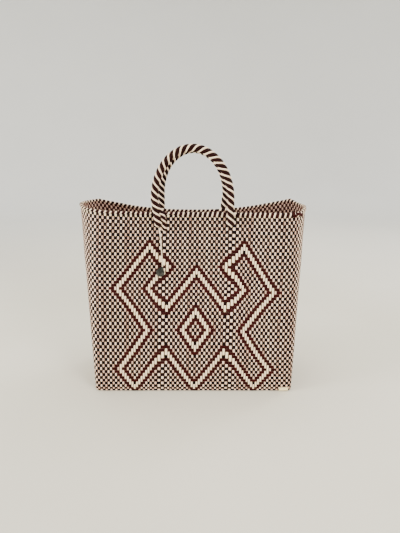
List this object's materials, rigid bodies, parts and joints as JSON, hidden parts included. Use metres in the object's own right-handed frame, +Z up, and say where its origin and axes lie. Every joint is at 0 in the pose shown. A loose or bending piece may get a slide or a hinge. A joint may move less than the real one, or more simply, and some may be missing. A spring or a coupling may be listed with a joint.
{
  "type": "woven market tote bag",
  "caption": "Open strip-woven tote on a flat oblong base, pinched at the mouth, with upright rope handles on front and back and a small metal drop on a cord.",
  "frame": {"origin": "middle of the base's underside, on the surface that the bag stands on", "axes": "+Z up to the handles, +X along the bag's width, +Y from the front face with the charm to the back face"},
  "size_m": [0.3882, 0.144, 0.4201],
  "materials": {
    "cream_strip": "flat extruded plastic strip, satin",
    "dark_strip": "flat extruded plastic strip, satin, maroon brown",
    "cord_thread": "twisted waxed thread",
    "pewter": "dull cast grey metal"
  },
  "bodies": {
    "root": {"body": "cream_strip", "base": "cream_strip", "rim": "dark_strip", "handle_front": "dark_strip", "handle_back": "dark_strip", "charm_cord": "cord_thread", "charm": "pewter"}
  },
  "joints": []
}
